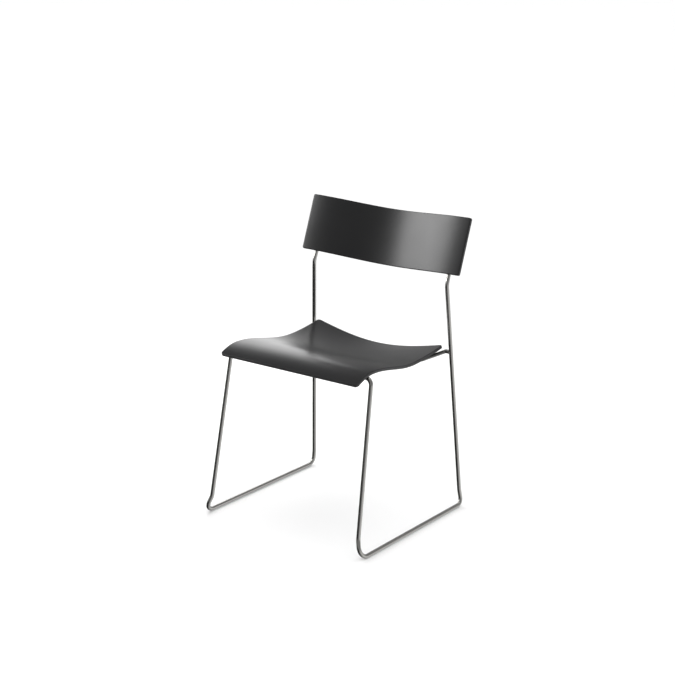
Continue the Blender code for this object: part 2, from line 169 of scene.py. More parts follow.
def moulded_plate(name, surface, edges, span, corner, depths, rim, columns, rows):
    """A closed plate that follows a surface between two depths below it, with round corners and a round rim.

    Row places run along span and follow a quarter circle at each corner. Column places run from one edge to
    the other. Near the outline, at distance e, each face falls by rim - sqrt(rim^2 - (rim - e)^2). The value
    named ply runs from 0 at the front face to 1 at the back face.
    """
    low, high = span
    turn = np.linspace(0.0, np.pi / 2.0, corner_steps)
    arc_b, arc_inset = corner * (1.0 - np.cos(turn)), corner * (1.0 - np.sin(turn))
    middle = np.linspace(low + corner, high - corner, rows)[1:-1]
    b = np.concatenate([low + arc_b, middle, high - arc_b[::-1]])
    inset = np.concatenate([arc_inset, np.zeros(len(middle)), arc_inset[::-1]])
    left, right = edges(b)
    left, right = left + inset, right - inset
    near = rim * (1.0 - np.cos(np.linspace(0.0, np.pi / 2.0, rim_steps)))[:-1]
    share = np.linspace(0.0, 1.0, columns)
    a = np.concatenate(
        [
            left[:, None] + near,
            (left + rim)[:, None] + (right - left - 2.0 * rim)[:, None] * share,
            right[:, None] - near[::-1],
        ],
        axis=1,
    )
    b = np.broadcast_to(b[:, None], a.shape)
    outer_left, outer_right = edges(b)
    beyond_a = np.abs(a - (outer_left + outer_right) / 2.0) - (outer_right - outer_left) / 2.0 + corner
    beyond_b = np.abs(b - (low + high) / 2.0) - (high - low) / 2.0 + corner
    outside = np.hypot(np.maximum(beyond_a, 0.0), np.maximum(beyond_b, 0.0))
    e = np.clip(corner - outside - np.minimum(np.maximum(beyond_a, beyond_b), 0.0), 0.0, rim)
    fall = rim - np.sqrt(np.maximum(rim**2 - (rim - e) ** 2, 0.0))
    place, normal = surface(a, b), face_normal(surface, a, b)
    face = place - normal * (depths[0] + fall)[..., None]
    back = place - normal * (depths[1] - fall)[..., None]
    count_b, count_a = a.shape
    size = count_a * count_b
    loop = np.concatenate(
        [
            np.arange(count_a),
            np.arange(1, count_b) * count_a + count_a - 1,
            (count_b - 1) * count_a + np.arange(count_a - 2, -1, -1),
            np.arange(count_b - 2, 0, -1) * count_a,
        ]
    )
    following = np.roll(loop, -1)
    wall = np.stack([loop, loop + size, following + size, following], -1)
    faces = np.concatenate([grid_quads(count_b, count_a), grid_quads(count_b, count_a, size)[:, ::-1], wall])
    points = np.concatenate([face.reshape(-1, 3), back.reshape(-1, 3)])
    thick = depths[1] - depths[0]
    ply = np.concatenate([fall.ravel() / thick, 1.0 - fall.ravel() / thick])
    return new_piece(name, points, faces, [("ply", ply)])


def linear(hex_code):
    """An sRGB hex colour as linear red, green, blue and alpha."""
    parts = [int(hex_code[i : i + 2], 16) / 255.0 for i in (1, 3, 5)]
    return (*[p / 12.92 if p <= 0.04045 else ((p + 0.055) / 1.055) ** 2.4 for p in parts], 1.0)


def add_node(tree, kind, settings=(), inputs=()):
    """Adds a node, sets its own properties, then sets each input to a value or links it to a socket."""
    node = tree.nodes.new(kind)
    for label, value in dict(settings).items():
        setattr(node, label, value)
    for label, value in dict(inputs).items():
        if isinstance(value, bpy.types.NodeSocket):
            tree.links.new(value, node.inputs[label])
        else:
            node.inputs[label].default_value = value
    return node


def new_material(name):
    """An empty material and its node tree with an output node."""
    material = bpy.data.materials.new(name)
    material.use_nodes = True
    tree = material.node_tree
    tree.nodes.clear()
    return material, tree, add_node(tree, "ShaderNodeOutputMaterial")


def black_lacquered_plywood(name, grain_axis):
    """Sprayed black satin lacquer over close-grained beech veneer: deep black with a soft sheen.

    The veneer's pores telegraph faintly through the film, and the film has a slight orange peel. On the cut
    edge the seven veneers stand out as lines, and the film there is thinner, so it is duller. The edge's
    lighter grey colour is a painted reflection, standing in for the light that the rounded rim catches.
    The pores are drawn wider than real ones so that they show.
    """
    pore_length, pore_width, pore_depth = 0.012, 0.0007, 0.00001
    peel_size, peel_depth = 0.003, 0.00002
    haze_size = 0.060
    veneers, veneer_depth = 7.0, 0.00005
    edge_from, edge_full = 0.03, 0.20
    edge_dullness = 0.12
    material, tree, output = new_material(name)
    place = add_node(tree, "ShaderNodeTexCoord").outputs["Object"]
    stretch = [1.0 / pore_width] * 3
    stretch[grain_axis] = 1.0 / pore_length
    along = add_node(tree, "ShaderNodeMapping", inputs={"Vector": place, "Scale": stretch})
    pores = add_node(
        tree, "ShaderNodeTexNoise", inputs={"Vector": along.outputs[0], "Scale": 1.0, "Detail": 2.0}
    )
    peel = add_node(
        tree, "ShaderNodeTexNoise", inputs={"Vector": place, "Scale": 1.0 / peel_size, "Detail": 1.0}
    )
    haze = add_node(
        tree, "ShaderNodeTexNoise", inputs={"Vector": place, "Scale": 1.0 / haze_size, "Detail": 4.0}
    )
    ply = add_node(tree, "ShaderNodeAttribute", {"attribute_name": "ply"}).outputs["Fac"]
    from_face = add_node(tree, "ShaderNodeMath", {"operation": "PINGPONG"}, {0: ply, 1: 0.5})
    edge = add_node(
        tree,
        "ShaderNodeMapRange",
        {"interpolation_type": "SMOOTHSTEP"},
        {"Value": from_face.outputs[0], "From Min": edge_from, "From Max": edge_full},
    ).outputs[0]
    ply_turn = add_node(
        tree, "ShaderNodeMath", {"operation": "MULTIPLY"}, {0: ply, 1: veneers * 2.0 * math.pi}
    )
    veneer = add_node(tree, "ShaderNodeMath", {"operation": "SINE"}, {0: ply_turn.outputs[0]})
    edge_veneer = add_node(
        tree, "ShaderNodeMath", {"operation": "MULTIPLY"}, {0: veneer.outputs[0], 1: edge}
    )
    # The lighter grey towards the cut edge is a painted reflection, not the lacquer's own colour: it stands
    # in for light caught on the rounded rim.
    colour = add_node(
        tree,
        "ShaderNodeMix",
        {"data_type": "RGBA"},
        {"Factor": edge, "A": linear("#0f0f11"), "B": linear("#2a2a2b")},
    )
    roughness = add_node(
        tree, "ShaderNodeMapRange", inputs={"Value": haze.outputs[0], "To Min": 0.285, "To Max": 0.345}
    )
    rough_edge = add_node(
        tree,
        "ShaderNodeMath",
        {"operation": "MULTIPLY_ADD"},
        {0: edge, 1: edge_dullness, 2: roughness.outputs[0]},
    )
    bump_before = {}
    for height, depth in ((pores, pore_depth), (peel, peel_depth), (edge_veneer, veneer_depth)):
        bump = add_node(
            tree,
            "ShaderNodeBump",
            inputs={"Height": height.outputs[0], "Distance": depth, "Strength": 1.0, **bump_before},
        )
        bump_before = {"Normal": bump.outputs[0]}
    shader = add_node(
        tree,
        "ShaderNodeBsdfPrincipled",
        inputs={
            "Base Color": colour.outputs["Result"],
            "Roughness": rough_edge.outputs[0],
            "IOR": 1.52,
            "Normal": bump.outputs[0],
        },
    )
    tree.links.new(shader.outputs[0], output.inputs[0])
    return material


seat = moulded_plate(
    "seat_shell_lacquered",
    seat_surface,
    lambda behind: (-seat_half_width(behind), seat_half_width(behind)),
    (0.0, seat_length),
    seat_corner,
    (0.0, seat_thick),
    rim_round,
    columns=120,
    rows=120,
)
seat.data.materials.append(black_lacquered_plywood("black_lacquer_grain_front_to_back", 1))
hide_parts("seat_shell")

# --- Back panel -----------------------------------------------------------------------------------
# The back is a second plywood shell in the same lacquer, bowed back in the middle and flat at both ends.
# It leans back, and four screws hold it from behind.

back_half = 0.2515
back_height = 0.153
back_bottom_behind = 0.3965
back_above_crest = 0.1905
back_lean = math.radians(19.1)
back_bow = 0.033
back_bow_dip = math.radians(25.0)
back_thick = 0.009
back_corner = 0.005


def back_surface(a, rise):
    """Front face: a plane leaning back, pushed back and down by a squared cosine across its width."""
    bow = back_bow * np.cos(np.pi / 2.0 * np.clip(np.abs(a) / back_half, 0.0, 1.0)) ** 2
    y = lip_y + back_bottom_behind + rise * math.sin(back_lean) + bow * math.cos(back_bow_dip)
    z = crest_z + back_above_crest + rise * math.cos(back_lean) - bow * math.sin(back_bow_dip)
    return np.stack([a, y, z], -1)


back = moulded_plate(
    "back_panel_lacquered",
    back_surface,
    lambda rise: (np.full_like(rise, -back_half), np.full_like(rise, back_half)),
    (0.0, back_height),
    back_corner,
    (0.0, back_thick),
    rim_round,
    columns=160,
    rows=50,
)
back.data.materials.append(black_lacquered_plywood("black_lacquer_grain_side_to_side", 0))
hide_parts("back_panel")

# --- Side rods ------------------------------------------------------------------------------------
# Each side is one length of 11 mm steel bar, bent cold in six places and plated with satin nickel: a stub
# under the seat, the front leg, the runner, the rear leg and the upright behind the back.

side_lo, side_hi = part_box("side_rod_right")
rod_radius = (bar_hi[2] - bar_lo[2]) / 2.0
fit_gap = 0.0003
weld_half = bar_hi[0]
bar_z = (bar_lo[2] + bar_hi[2]) / 2.0
knee_past_seat = 0.005
knee_half = seat_front_half + knee_past_seat
runner_half = side_hi[0] - rod_radius
runner_z = side_lo[2] + rod_radius
runner_before_lip = 0.016
runner_behind_lip = 0.4745
runner_front_y = lip_y - runner_before_lip
runner_rear_y = lip_y + runner_behind_lip
# An ankle: how far in from the runner's side it stands, how far in from its end, and how high.
front_ankle = (0.015, 0.014, 0.050)
rear_ankle = (0.006, 0.0053, 0.045)
upright_inset = 0.0374
upright_bend_drop = 0.0313
upright_top_inset = 0.0435
upright_top_drop = 0.030
side_bends = (0.018, 0.040, 0.025, 0.018, 0.040, 0.040)
bend_step = 3.0
line_gap = 0.0004
line_length = 0.006
line_depth = 0.00002
patch_size = 0.030
rod_chamfer = 0.0006
rod_sides = 48
rod_crease = math.radians(30.0)


def below(surface, a, b, depth):
    """A point at a depth under a moulded surface."""
    a, b = np.float64(a), np.float64(b)
    return surface(a, b) - face_normal(surface, a, b) * depth


def bent_path(corners, radii):
    """Straight runs joined by arcs.

    Each arc lies at start + radius * (sin(angle) * into + (1 - cos(angle)) * toward), where into is the first
    run's direction and toward is the part of the second run's direction that is square to it. The angle
    goes up in steps of about bend_step degrees.
    """
    corners = np.asarray(corners, float)
    stretches = [corners[:1]]
    for before, corner, after, radius in zip(corners, corners[1:], corners[2:], radii):
        into = (corner - before) / np.linalg.norm(corner - before)
        out = (after - corner) / np.linalg.norm(after - corner)
        turn = math.acos(np.clip(into @ out, -1.0, 1.0))
        toward = out - into * (into @ out)
        toward /= np.linalg.norm(toward)
        angles = np.linspace(0.0, turn, max(3, math.ceil(math.degrees(turn) / bend_step)))[:, None]
        start = corner - into * radius * math.tan(turn / 2.0)
        stretches.append(start + radius * (np.sin(angles) * into + (1.0 - np.cos(angles)) * toward))
    return np.concatenate([*stretches, corners[-1:]])


def round_sweep(name, centres, along, outward, radii, sides, mirror=1.0):
    """A closed round body: rings at centre + radius * (cos * outward + sin * (along x outward)).

    A ring of no radius closes an end. Mirrored points swap left for right, and their faces are turned over.
    The values along, ring_x and ring_y give a point's distance along the body and its place around it.
    """
    outward = outward - along * np.sum(outward * along, axis=1, keepdims=True)
    outward = outward / np.linalg.norm(outward, axis=1, keepdims=True)
    across = np.cross(along, outward)
    angle = np.linspace(0.0, 2.0 * np.pi, sides, endpoint=False)
    ring = np.cos(angle)[None, :, None] * outward[:, None] + np.sin(angle)[None, :, None] * across[:, None]
    points = (centres[:, None] + ring * radii[:, None, None]) * [mirror, 1.0, 1.0]
    first = np.arange((len(centres) - 1) * sides).reshape(-1, sides)
    second = np.roll(first, -1, axis=1)
    faces = np.stack([first, second, second + sides, first + sides], -1).reshape(-1, 4)
    travel = np.concatenate([[0.0], np.cumsum(np.linalg.norm(np.diff(centres, axis=0), axis=1))])
    shape = (len(centres), sides)
    values = [
        ("along", np.broadcast_to(travel[:, None], shape)),
        ("ring_x", np.broadcast_to(np.cos(angle) * rod_radius, shape)),
        ("ring_y", np.broadcast_to(np.sin(angle) * rod_radius, shape)),
    ]
    return new_piece(name, points, faces if mirror > 0.0 else faces[:, ::-1], values)


def directions(path):
    """Unit directions along a path: at each point, the mean of the runs that meet there."""
    runs = np.diff(path, axis=0)
    runs /= np.linalg.norm(runs, axis=1, keepdims=True)
    along = np.concatenate([runs[:1], runs[:-1] + runs[1:], runs[-1:]])
    return along / np.linalg.norm(along, axis=1, keepdims=True)


def bent_rod(name, path, mirror=1.0):
    """A round bar along a path, with sawn ends and a small chamfer round each end.

    The rings' outward axes are square to one slanting vector that no run of these paths points along.
    """
    along = directions(path)
    step = np.array([rod_chamfer, 0.0, 0.0])[:, None]
    end_radii = rod_radius * np.array([1.0, 1.0 - rod_chamfer / rod_radius, 0.0])
    centres = np.concatenate([path[:1] + along[:1] * step[::-1], path[1:-1], path[-1:] - along[-1:] * step])
    radii = np.concatenate([end_radii[::-1], np.full(len(path) - 2, rod_radius), end_radii])
    along = np.concatenate([np.repeat(along[:1], 3, axis=0), along[1:-1], np.repeat(along[-1:], 3, axis=0)])
    bar = round_sweep(name, centres, along, np.cross(along, [1.0, -1.0, 1.0]), radii, rod_sides, mirror)
    bar.data.set_sharp_from_angle(angle=rod_crease)
    return bar


def satin_nickel(name):
    """Satin nickel plate over linished steel: a warm grey metal with a blurred sheen.

    The linishing lines run round the bar, each some 6 mm long, and are drawn coarser than real ones so that
    they show. Slow 30 mm patches in the roughness are the wiping marks of handling. Lines and patches follow
    the values along, ring_x and ring_y. A piece without these values is evenly plated.
    """
    material, tree, output = new_material(name)
    along = add_node(tree, "ShaderNodeAttribute", {"attribute_name": "along"}).outputs["Fac"]
    ring_x = add_node(tree, "ShaderNodeAttribute", {"attribute_name": "ring_x"}).outputs["Fac"]
    ring_y = add_node(tree, "ShaderNodeAttribute", {"attribute_name": "ring_y"}).outputs["Fac"]
    place = add_node(tree, "ShaderNodeCombineXYZ", inputs={"X": along, "Y": ring_x, "Z": ring_y})
    stretch = (1.0 / line_gap, 1.0 / line_length, 1.0 / line_length)
    lines_at = add_node(tree, "ShaderNodeMapping", inputs={"Vector": place.outputs[0], "Scale": stretch})
    lines = add_node(
        tree, "ShaderNodeTexNoise", inputs={"Vector": lines_at.outputs[0], "Scale": 1.0, "Detail": 3.0}
    )
    patches = add_node(
        tree,
        "ShaderNodeTexNoise",
        inputs={"Vector": place.outputs[0], "Scale": 1.0 / patch_size, "Detail": 3.0},
    )
    rough = add_node(
        tree, "ShaderNodeMapRange", inputs={"Value": patches.outputs[0], "To Min": 0.18, "To Max": 0.25}
    )
    bump = add_node(
        tree, "ShaderNodeBump", inputs={"Height": lines.outputs[0], "Distance": line_depth, "Strength": 1.0}
    )
    tint = add_node(
        tree,
        "ShaderNodeMix",
        {"data_type": "RGBA"},
        {"Factor": lines.outputs[0], "A": linear("#b9b8b5"), "B": linear("#cccbc8")},
    )
    shader = add_node(
        tree,
        "ShaderNodeBsdfPrincipled",
        inputs={
            "Base Color": tint.outputs["Result"],
            "Metallic": 1.0,
            "Roughness": rough.outputs[0],
            "Normal": bump.outputs[0],
        },
    )
    tree.links.new(shader.outputs[0], output.inputs[0])
    return material


upright_top = below(
    back_surface,
    back_half - upright_top_inset,
    back_height - upright_top_drop,
    back_thick + fit_gap + rod_radius,
)
upright_bend_z = crest_z + back_above_crest - upright_bend_drop
upright_bend = np.array(
    [
        back_half - upright_inset,
        upright_top[1] - (upright_top[2] - upright_bend_z) * math.tan(back_lean),
        upright_bend_z,
    ]
)
rear_ankle_at = np.array([runner_half - rear_ankle[0], runner_rear_y - rear_ankle[1], rear_ankle[2]])
side_path = bent_path(
    [
        (weld_half + fit_gap, knee_y, bar_z),
        (knee_half, knee_y, bar_z),
        (runner_half - front_ankle[0], runner_front_y + front_ankle[1], front_ankle[2]),
        (runner_half, runner_front_y, runner_z),
        (runner_half, runner_rear_y, runner_z),
        rear_ankle_at,
        upright_bend,
        upright_top,
    ],
    side_bends,
)
nickel = satin_nickel("satin_nickel_plated_bar")
for side_name, side in (("left", -1.0), ("right", 1.0)):
    rod = bent_rod(f"side_rod_{side_name}_plated", side_path, side)
    rod.data.materials.append(nickel)
    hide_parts(f"side_rod_{side_name}")

# --- Crossbars ------------------------------------------------------------------------------------
# Two cross members of the same bar carry the seat. The front one is straight and butts on the side rods'
# stubs. The rear one drops between the uprights to pass under the dish.

rear_bar_behind_lip = 0.396
rear_bar_y = lip_y + rear_bar_behind_lip
rear_bar_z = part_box("rear_crossbar")[0][2] + rod_radius
rear_bar_half = 0.150
rear_bar_level = 0.016
rear_bar_weld_drop = 0.026
rear_bar_weld_z = crest_z - rear_bar_weld_drop
rear_bar_bends = (0.011, 0.022, 0.022, 0.011)

front_ends = np.array([(-weld_half, knee_y, bar_z), (weld_half, knee_y, bar_z)])
front_bar = bent_rod("front_crossbar_plated", front_ends)
front_bar.data.materials.append(nickel)
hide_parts("front_crossbar")

leg_run = upright_bend - rear_ankle_at
rear_weld = rear_ankle_at + leg_run * (rear_bar_weld_z - rear_ankle_at[2]) / leg_run[2]
rear_right = np.array(
    [
        rear_weld - [rod_radius + fit_gap, 0.0, 0.0],
        rear_weld - [rear_bar_level, 0.0, 0.0],
        (rear_bar_half, rear_bar_y, rear_bar_z),
    ]
)
rear_corners = np.concatenate([rear_right * [-1.0, 1.0, 1.0], rear_right[::-1]])
rear_bar = bent_rod("rear_crossbar_plated", bent_path(rear_corners, rear_bar_bends))
rear_bar.data.materials.append(nickel)
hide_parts("rear_crossbar")

# --- Frame welds ----------------------------------------------------------------------------------
# The crossbars are joined to the side rods by rippled fillet welds, dressed lightly and plated with the
# frame: a ring round each butt joint at the front, and a saddle round each end of the rear bar.

bead_radius = 0.0011
bead_sides = 16
ripple_gap = 0.0012
ripple_share = 0.10
ring_turns = 1.06
ring_places = 220
butt_sink = 0.0006
saddle_lift = 0.0002
saddle_share = 0.92


def weld_bead(name, path, outward, radius, mirror=1.0):
    """A weld bead: a round sweep along a path.

    Its radius dips by ripple_share * abs(cos(pi * travel / ripple_gap)) and falls off as a quarter circle at
    both ends.
    """
    travel = np.concatenate([[0.0], np.cumsum(np.linalg.norm(np.diff(path, axis=0), axis=1))])
    to_end = np.minimum(travel, travel[-1] - travel) / radius
    taper = np.sqrt(1.0 - (1.0 - np.clip(to_end, 0.0, 1.0)) ** 2)
    ripple = 1.0 - ripple_share * np.abs(np.cos(np.pi * travel / ripple_gap))
    bead = round_sweep(name, path, directions(path), outward, radius * ripple * taper, bead_sides, mirror)
    bead.data.materials.append(nickel)
    return bead


# The butt bead is a circle sunk into the joint, closed a little past one turn.
round_turn = np.linspace(0.0, ring_turns * 2.0 * np.pi, ring_places)
ring_out = np.stack([np.zeros(ring_places), np.cos(round_turn), np.sin(round_turn)], -1)
butt_ring = np.array([weld_half, knee_y, bar_z]) + ring_out * (rod_radius - butt_sink)

# The saddle is the same circle, laid over the side of the upright: x falls by sqrt(radius^2 - y^2), and the
# whole ring leans with the upright.
saddle = rear_weld + ring_out * (rod_radius + saddle_lift)
saddle[:, 0] -= np.sqrt(rod_radius**2 - (ring_out[:, 1] * rod_radius * saddle_share) ** 2) - saddle_lift
saddle[:, 0] += (saddle[:, 2] - rear_weld[2]) * leg_run[0] / leg_run[2]
for side_name, side in (("left", -1.0), ("right", 1.0)):
    weld_bead(f"front_butt_weld_{side_name}", butt_ring, ring_out, bead_radius, side)
    weld_bead(f"rear_saddle_weld_{side_name}", saddle, ring_out, bead_radius, side)

# --- Seat tabs ------------------------------------------------------------------------------------
# Four tabs of 3 mm steel are pressed to the seat's underside curve and welded by one long edge to the
# crossbars. Each is bored for two screws. They are plated like the bars, but not linished.

plate = 0.003
tab_half = 0.030
tab_reach = 0.024
tab_corner = 0.004
tab_rim = 0.0006
tab_rows = (("front", bar_behind_lip, 0.105, 1.0), ("rear", rear_bar_y - lip_y, 0.060, -1.0))
seam_places = 120
seam_sink = 0.0004
hole_past_insert = 0.0002
hole_sides = 48
hole_crease = math.radians(50.0)
screw_pitch = 0.034
screw_radius = 0.0025
screw_clearance = 0.0003
insert_radius = 0.004
insert_cover = 0.0022
bar_edge = math.sqrt(rod_radius**2 - (rod_radius - plate) ** 2) + fit_gap
tab_depths = (seat_thick + fit_gap, seat_thick + fit_gap + plate)


def drill(piece, holes, radius):
    """Cuts round holes, each from a start point to an end point, by one Boolean of all the drills."""
    drills = bmesh.new()
    for start, end in holes:
        axis = Vector(end - start)
        turn = axis.to_track_quat("Z", "Y").to_matrix().to_4x4()
        place = Matrix.Translation(Vector((start + end) / 2.0)) @ turn
        bmesh.ops.create_cone(
            drills,
            cap_ends=True,
            segments=hole_sides,
            radius1=radius,
            radius2=radius,
            depth=axis.length,
            matrix=place,
        )
    mesh = bpy.data.meshes.new("drills")
    drills.to_mesh(mesh)
    drills.free()
    cutter = bpy.data.objects.new("drills", mesh)
    bpy.context.scene.collection.objects.link(cutter)
    cut = piece.modifiers.new("holes", "BOOLEAN")
    cut.solver = "EXACT"
    cut.object = cutter
    bpy.context.view_layer.update()
    bored = bpy.data.meshes.new_from_object(piece.evaluated_get(bpy.context.evaluated_depsgraph_get()))
    piece.modifiers.remove(cut)
    piece.data = bored
    piece.data.set_sharp_from_angle(angle=hole_crease)
    bpy.data.objects.remove(cutter)


def hole_ends(surface, a, b, deep, shallow):
    """A hole's two ends, at a deep and a shallow depth under a shell's face."""
    return below(surface, a, b, deep), below(surface, a, b, shallow)


seat_screws = []
seat_holes = []
pressed_nickel = satin_nickel("satin_nickel_plated_pressing")
for row, bar_behind, tab_x, reach in tab_rows:
    slopes = face_normal(seat_surface, tab_x + tab_half * np.array([-1.0, 0.0, 1.0]), np.full(3, bar_behind))
    start = bar_behind + slopes[:, 1].min() * tab_depths[1] + reach * bar_edge
    span = (min(start, start + reach * tab_reach), max(start, start + reach * tab_reach))
    for side_name, side in (("left", -1.0), ("right", 1.0)):
        centre = tab_x * side
        tab = moulded_plate(
            f"seat_tab_{row}_{side_name}_pressed",
            seat_surface,
            lambda behind: (
                np.full_like(behind, centre - tab_half),
                np.full_like(behind, centre + tab_half),
            ),
            span,
            tab_corner,
            tab_depths,
            tab_rim,
            columns=36,
            rows=16,
        )
        places = [("inner", centre - side * screw_pitch / 2.0), ("outer", centre + side * screw_pitch / 2.0)]
        middle = sum(span) / 2.0
        deep, shallow = seat_thick + 3.0 * plate, seat_thick - plate
        tab_holes = [hole_ends(seat_surface, x, middle, deep, shallow) for _, x in places]
        drill(tab, tab_holes, screw_radius + screw_clearance)
        tab.data.materials.append(pressed_nickel)
        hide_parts(f"seat_tab_{row}_{side_name}")
        deep, shallow = 1.5 * seat_thick, insert_cover - hole_past_insert
        for place, x in places:
            seat_screws.append((f"seat_{row}_{side_name}_{place}", x, middle))
            seat_holes.append(hole_ends(seat_surface, x, middle, deep, shallow))
        seam_a = np.linspace(centre - tab_half + tab_corner, centre + tab_half - tab_corner, seam_places)
        seam_b = np.full(seam_places, start)
        downward = -face_normal(seat_surface, seam_a, seam_b)
        seam = seat_surface(seam_a, seam_b) + downward * (tab_depths[1] - seam_sink)
        seam[:, 1] -= reach * seam_sink
        weld_bead(f"seat_tab_{row}_{side_name}_weld", seam, downward, bead_radius)
drill(seat, seat_holes, insert_radius + fit_gap)

# --- Back brackets --------------------------------------------------------------------------------
# Two upright brackets of the same pressed steel sit behind the back, welded along the uprights' inner
# sides. Each is bored for two screws, one above the other.

bracket_span = (0.030, 0.112)
bracket_reach = 0.026
bracket_pitch = 0.050
bracket_depths = (back_thick + fit_gap, back_thick + fit_gap + plate)
bracket_seam_places = 160


def upright_x(rise):
    """The upright's distance from the middle at a rise of the back.

    It is a straight line from the upright's bend to its top.
    """
    z = crest_z + back_above_crest + rise * math.cos(back_lean)
    share = (z - upright_bend[2]) / (upright_top[2] - upright_bend[2])
    return upright_bend[0] + (upright_top[0] - upright_bend[0]) * share


def bracket_outer(rise):
    """The bracket's welded edge: the upright's line, moved in by the bar's reach at the plate's depth."""
    rise = np.asarray(rise, float)
    lean_in = face_normal(back_surface, upright_x(rise), rise)[..., 0]
    return upright_x(rise) + lean_in * bracket_depths[1] - bar_edge


back_screws = []
back_holes = []
for side_name, side in (("left", -1.0), ("right", 1.0)):
    bracket = moulded_plate(
        f"back_bracket_{side_name}_pressed",
        back_surface,
        lambda rise: tuple(
            np.sort([side * bracket_outer(rise), side * (bracket_outer(rise) - bracket_reach)], axis=0)
        ),
        bracket_span,
        tab_corner,
        bracket_depths,
        tab_rim,
        columns=16,
        rows=48,
    )
    middle = sum(bracket_span) / 2.0
    rises = [("lower", middle - bracket_pitch / 2.0), ("upper", middle + bracket_pitch / 2.0)]
    spots = [(place, side * float(bracket_outer(rise) - bracket_reach / 2.0), rise) for place, rise in rises]
    deep, shallow = back_thick + 3.0 * plate, back_thick - plate
    bracket_holes = [hole_ends(back_surface, x, rise, deep, shallow) for _, x, rise in spots]
    drill(bracket, bracket_holes, screw_radius + screw_clearance)
    bracket.data.materials.append(pressed_nickel)
    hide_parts(f"back_bracket_{side_name}")
    deep, shallow = 1.5 * back_thick, insert_cover - hole_past_insert
    for place, x, rise in spots:
        back_screws.append((f"back_{side_name}_{place}", x, rise))
        back_holes.append(hole_ends(back_surface, x, rise, deep, shallow))
    seam_b = np.linspace(bracket_span[0] + tab_corner, bracket_span[1] - tab_corner, bracket_seam_places)
    seam_a = side * bracket_outer(seam_b)
    rearward = -face_normal(back_surface, seam_a, seam_b)
    seam = back_surface(seam_a, seam_b) + rearward * (bracket_depths[1] - seam_sink)
    seam[:, 0] += side * seam_sink
    weld_bead(f"back_bracket_{side_name}_weld", seam, rearward, bead_radius)
drill(back, back_holes, insert_radius + fit_gap)

# --- Screws ---------------------------------------------------------------------------------------
# Twelve M5 button-head machine screws in bright zinc hold the shells, three millimetres of tab under each
# head. The socket is a 3 mm hexagon with a lead-in chamfer.

head_radius = 0.00475
head_height = 0.00275
head_top_radius = 0.00295
head_edge_break = 0.0002
dome_places = 9
socket_radius = 0.0015
socket_depth = 0.0016
socket_chamfer = 0.0003
shank_chamfer = 0.0006
shank_end_gap = 0.0004
turned_sides = 48
turned_crease = math.radians(35.0)


def turned(name, surface, a, b, depth, rings, segments, reach):
    """A body turned about a shell's normal: each ring is a pair of radius and height.

    The radius is multiplied by reach(angle, rings). Heights run from the given depth in towards the shell's
    face. Rings that start on the axis end on it, and others join their last ring to their first. Angles
    start square to a slanting direction that no shell's normal points along.
    """
    normal = face_normal(surface, np.float64(a), np.float64(b))
    slanting = [0.0, 0.6, 0.8]
    side_a = np.cross(normal, slanting)
    side_a /= np.linalg.norm(side_a)
    side_b = np.cross(normal, side_a)
    angle = np.linspace(0.0, 2.0 * np.pi, segments, endpoint=False)
    radii = rings[:, :1] * reach(angle, rings)
    points = (
        below(surface, a, b, depth)
        + normal * rings[:, 1][:, None, None]
        + (radii * np.cos(angle))[..., None] * side_a
        + (radii * np.sin(angle))[..., None] * side_b
    )
    index = np.arange(len(rings) * segments).reshape(len(rings), segments)
    following = np.roll(index, -1, axis=0)
    faces = np.stack([index, following, np.roll(following, -1, axis=1), np.roll(index, -1, axis=1)], -1)
    faces = faces[:-1] if rings[0, 0] == 0.0 else faces
    return new_piece(name, points, faces.reshape(-1, 4)[:, ::-1])


def bright_zinc(name):
    """Bright zinc plate, passivated: a cool silver metal, a little cloudy, with 1 mm blotches."""
    blotch_size = 0.001
    material, tree, output = new_material(name)
    place = add_node(tree, "ShaderNodeTexCoord").outputs["Object"]
    cloud = add_node(
        tree, "ShaderNodeTexNoise", inputs={"Vector": place, "Scale": 1.0 / blotch_size, "Detail": 3.0}
    )
    rough = add_node(
        tree, "ShaderNodeMapRange", inputs={"Value": cloud.outputs[0], "To Min": 0.29, "To Max": 0.38}
    )
    tint = add_node(
        tree,
        "ShaderNodeMix",
        {"data_type": "RGBA"},
        {"Factor": cloud.outputs[0], "A": linear("#c3c8cf"), "B": linear("#dcdfe2")},
    )
    shader = add_node(
        tree,
        "ShaderNodeBsdfPrincipled",
        inputs={"Base Color": tint.outputs["Result"], "Metallic": 1.0, "Roughness": rough.outputs[0]},
    )
    tree.links.new(shader.outputs[0], output.inputs[0])
    return material


# The head's dome is a quarter of an ellipse, from the flat round the socket to the head's rim.
dome = np.linspace(0.0, 1.0, dome_places)
head_curve = np.stack(
    [
        head_top_radius + (head_radius - head_top_radius) * np.sin(dome * np.pi / 2.0),
        -head_height * np.cos(dome * np.pi / 2.0),
    ],
    -1,
)
zinc = bright_zinc("bright_zinc_plate")
screw_sets = (
    (seat_surface, seat_thick, seat_screws),
    (back_surface, back_thick, back_screws),
)


def hexagon_in_socket(angle, rings):
    """One outside the socket. Inside it, a hexagon's reach: 1 / cos of the angle off the nearest flat."""
    off_flat = (angle + np.pi / 6.0) % (np.pi / 3.0) - np.pi / 6.0
    socket_floor = socket_depth - head_height
    inside = (rings[:, :1] <= socket_radius + same_place) & (rings[:, 1:] < socket_floor + same_place)
    return np.where(inside, 1.0 / np.cos(off_flat), 1.0)


